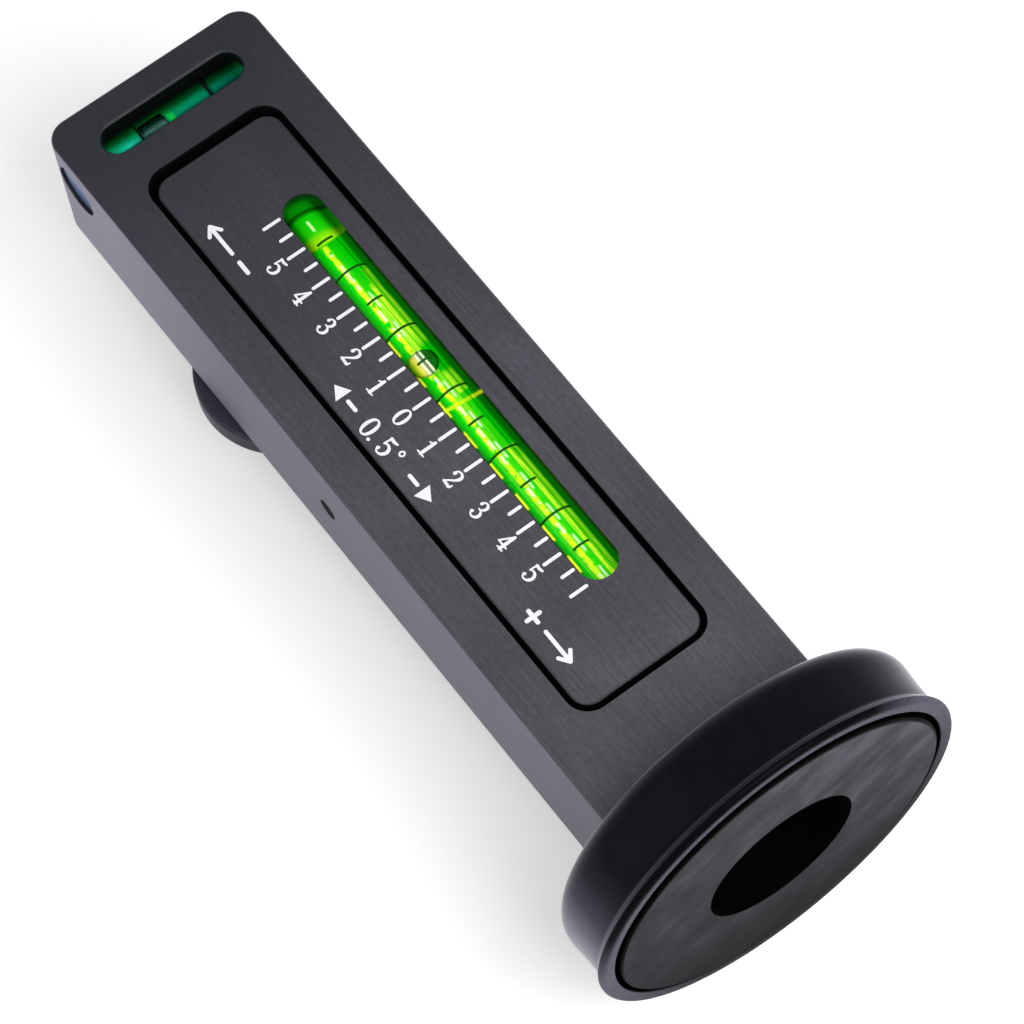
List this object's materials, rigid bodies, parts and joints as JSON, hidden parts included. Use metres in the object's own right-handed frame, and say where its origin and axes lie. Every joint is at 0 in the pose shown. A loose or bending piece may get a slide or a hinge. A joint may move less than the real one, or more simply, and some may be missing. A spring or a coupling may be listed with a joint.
{
  "type": "camber caster gauge",
  "caption": "Magnetic wheel alignment gauge: a black bar with a camber vial, a tilting caster vial, a cross level and a ring magnet foot in a rubber boot.",
  "frame": {"origin": "centre of the ring magnet's pulling face, on the axis of its hole", "axes": "+Y along the bar from the magnet to the free end, +Z out of the camber face (up in use), +X to the right when the camber face is read with the free end away"},
  "size_m": [0.0502, 0.1258, 0.0502],
  "materials": {
    "black_anodised": "brushed lengthwise, black anodised, satin",
    "wheel_anodised": "turned, black anodised, satin",
    "vial_acrylic": "clear green acrylic, polished",
    "level_glass": "clear teal glass, polished",
    "vial_plug": "green moulded plug",
    "green_liquid": "fluorescent green vial liquid",
    "teal_liquid": "teal vial liquid",
    "air": "air bubble",
    "potting": "pale yellow potting resin",
    "bright_steel": "zinc plated, semi-bright",
    "spring_steel": "drawn spring steel",
    "brass": "turned brass",
    "plug_rubber": "moulded, matte blue-grey",
    "ferrite": "ground ferrite magnet, dark grey",
    "zinc_steel": "zinc plated",
    "boot_rubber": "moulded black rubber, glossy"
  },
  "bodies": {
    "gauge_body": {"bar": "black_anodised", "camber_carrier": "black_anodised", "camber_carrier_screws": "bright_steel", "camber_vial": "vial_acrylic", "camber_vial_plugs": "vial_plug", "camber_liquid": "green_liquid", "camber_vial_bed": "potting", "level_vial": "level_glass", "level_vial_plugs": "vial_plug", "level_liquid": "teal_liquid", "bore_plug": "plug_rubber", "pivot_pin": "bright_steel", "zero_spring": "spring_steel", "ring_magnet": "ferrite", "backing_plate": "zinc_steel", "foot_screw": "bright_steel", "magnet_boot": "boot_rubber"},
    "cradle": {"caster_cradle": "black_anodised", "caster_vial": "vial_acrylic", "caster_vial_plugs": "vial_plug", "caster_liquid": "green_liquid", "caster_vial_bed": "potting"},
    "washer": {"thrust_washer": "brass"},
    "wheel": {"zero_wheel": "wheel_anodised", "zero_screw": "bright_steel", "screw_clip": "spring_steel"},
    "camber_air": {"camber_bubble": "air"},
    "caster_air": {"caster_bubble": "air"},
    "level_air": {"level_bubble": "air"}
  },
  "joints": [
    {"name": "cradle_tilt", "type": "hinge", "parent": "gauge_body", "child": "cradle", "pos_m": [0, 0.06753, -0.0011], "axis": [1, 0, 0], "range_deg": [-3, 3]},
    {"name": "washer_travel", "type": "slide", "parent": "gauge_body", "child": "washer", "axis": [0, 0, 1], "range_m": [-0.00129, 0.00129], "deforming": ["zero_spring"]},
    {"name": "wheel_turn", "type": "hinge", "parent": "washer", "child": "wheel", "pos_m": [-0.0056, 0.0923, -0.0137], "axis": [0, 0, 1], "range_deg": [-930, 930]},
    {"name": "camber_bubble_run", "type": "slide", "parent": "gauge_body", "child": "camber_air", "axis": [0, 1, 0], "range_m": [-0.0364, 0.0252]},
    {"name": "caster_bubble_run", "type": "slide", "parent": "cradle", "child": "caster_air", "axis": [0, 1, 0], "range_m": [-0.0224, 0.0224]},
    {"name": "level_bubble_run", "type": "slide", "parent": "gauge_body", "child": "level_air", "axis": [1, 0, 0], "range_m": [-0.00495, 0.01065]}
  ],
  "couplings": [
    {"joint": "wheel_turn", "follows": "washer_travel", "rad_per_m": 12566},
    {"joint": "cradle_tilt", "follows": "washer_travel", "rad_per_m": 40.371}
  ]
}
